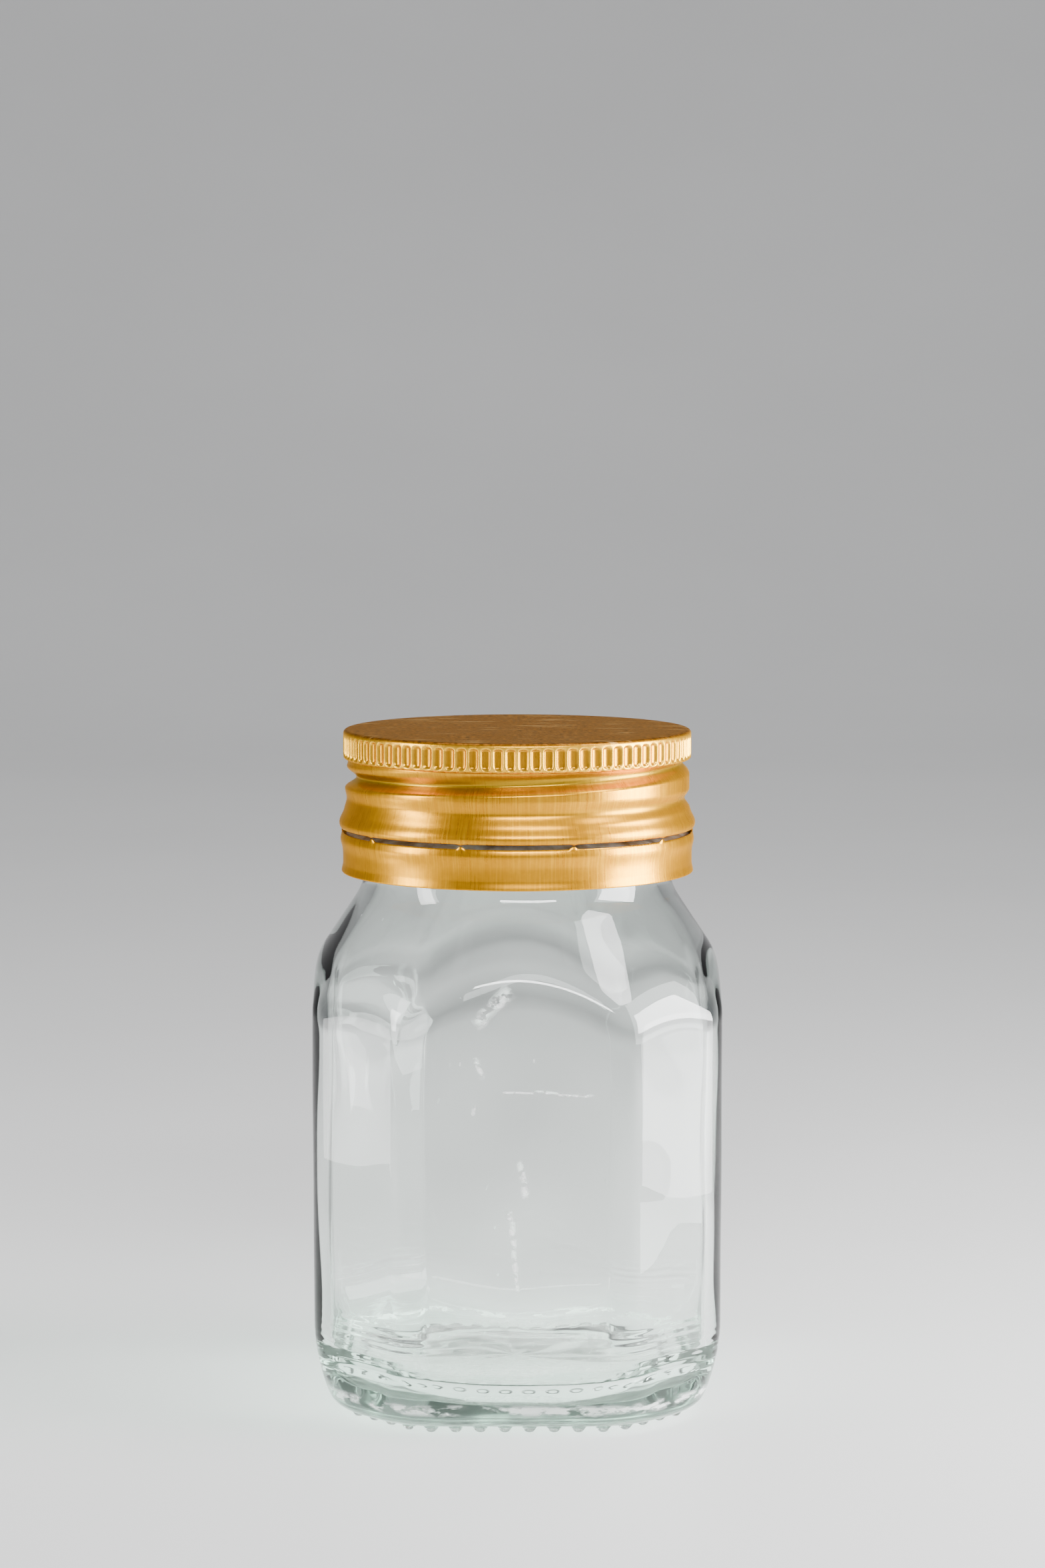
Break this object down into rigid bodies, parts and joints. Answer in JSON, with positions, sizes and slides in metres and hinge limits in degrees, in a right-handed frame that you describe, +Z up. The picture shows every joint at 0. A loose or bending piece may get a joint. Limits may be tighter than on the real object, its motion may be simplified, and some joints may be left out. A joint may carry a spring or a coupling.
{
  "type": "screw-top glass jar",
  "caption": "Clear glass jar with a square body, cut corners and arched panels, closed by a gold roll-on screw cap that unscrews and leaves a loose tamper ring on the neck.",
  "frame": {"origin": "centre of the surface that the jar stands on, at the tips of the base nubs", "axes": "+Z up along the neck's axis, -Y out of the front label panel, +X to the right seen from the front"},
  "size_m": [0.0618, 0.0618, 0.1031],
  "materials": {
    "glass": "clear flint glass, polished, faintly green at thick edges",
    "gold_lacquer": "satin gold lacquer on aluminium sheet",
    "liner_foam": "matt closed-cell foam"
  },
  "bodies": {
    "jar": {"glass_jar": "glass"},
    "liner": {"liner": "liner_foam"},
    "cap": {"screw_cap": "gold_lacquer"},
    "ring": {"tamper_ring": "gold_lacquer"}
  },
  "joints": [
    {"name": "cap_lift", "type": "slide", "parent": "jar", "child": "liner", "axis": [0, 0, 1], "range_m": [0, 0.0053]},
    {"name": "cap_turn", "type": "hinge", "parent": "liner", "child": "cap", "pos_m": [0, 0, 0.0931], "axis": [0, 0, 1], "range_deg": [0, 450]},
    {"name": "ring_turn", "type": "hinge", "parent": "jar", "child": "ring", "pos_m": [0, 0, 0.0847], "axis": [0, 0, 1], "continuous": true}
  ],
  "couplings": [
    {"joint": "cap_lift", "follows": "cap_turn", "m_per_rad": 0.00066845}
  ]
}
